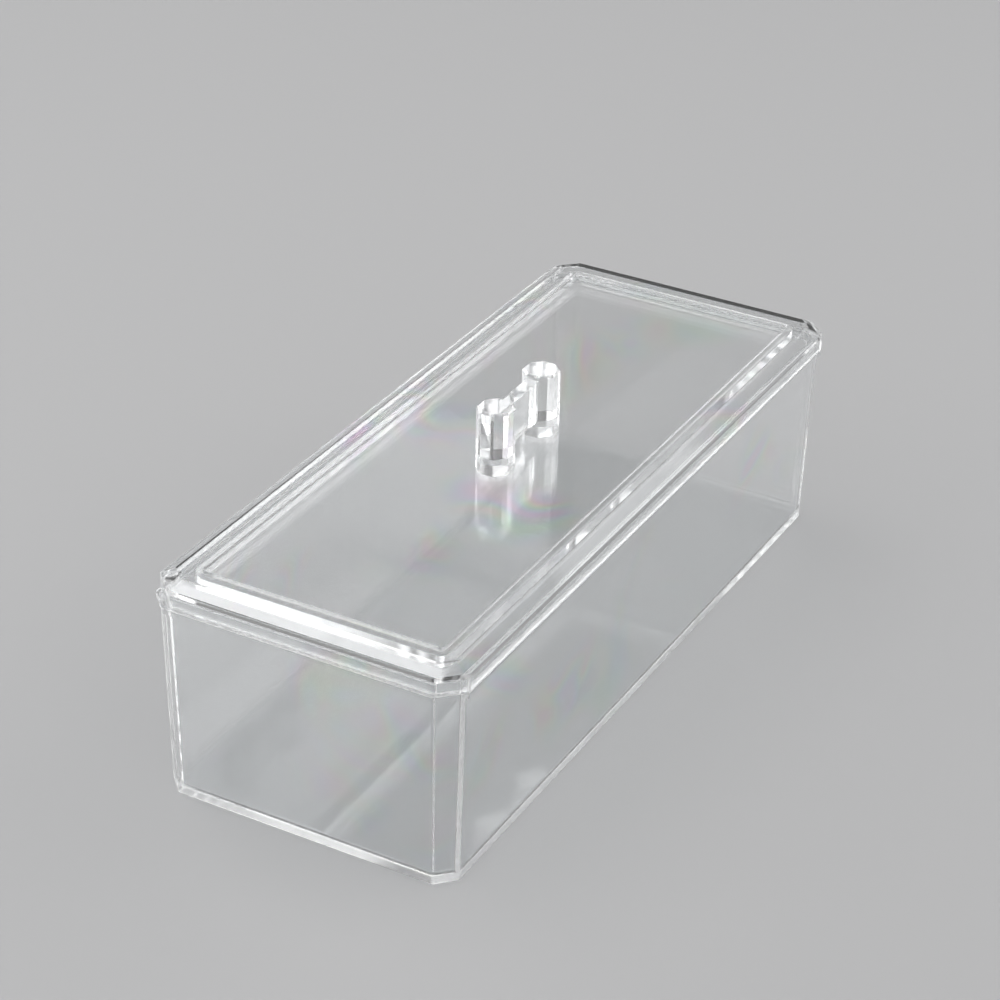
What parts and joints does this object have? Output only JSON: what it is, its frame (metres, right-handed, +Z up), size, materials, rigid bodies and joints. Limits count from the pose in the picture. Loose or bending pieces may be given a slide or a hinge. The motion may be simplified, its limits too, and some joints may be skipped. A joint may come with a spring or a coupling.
{
  "type": "clear storage box with lid",
  "caption": "Long clear open box with cut corners for brushes, and a lift-off lid with a sunk panel and a two-post handle.",
  "frame": {"origin": "centre of the box's underside, on the surface that the box stands on", "axes": "+Z up, the way the lid lifts; +Y along the box's length, towards the end that the picture shows at the back; +X across, to the right"},
  "size_m": [0.0894, 0.2198, 0.0793],
  "materials": {
    "clear_box": "clear moulded polystyrene, polished",
    "clear_lid": "clear moulded polystyrene, polished",
    "clear_handle": "clear moulded polystyrene, polished"
  },
  "bodies": {
    "box": {"box_base": "clear_box"},
    "lid": {"lid_shell": "clear_lid", "lid_handle": "clear_handle"}
  },
  "joints": [
    {"name": "lid_lift", "type": "slide", "parent": "box", "child": "lid", "axis": [0, 0, 1], "range_m": [0, 0.1]}
  ]
}
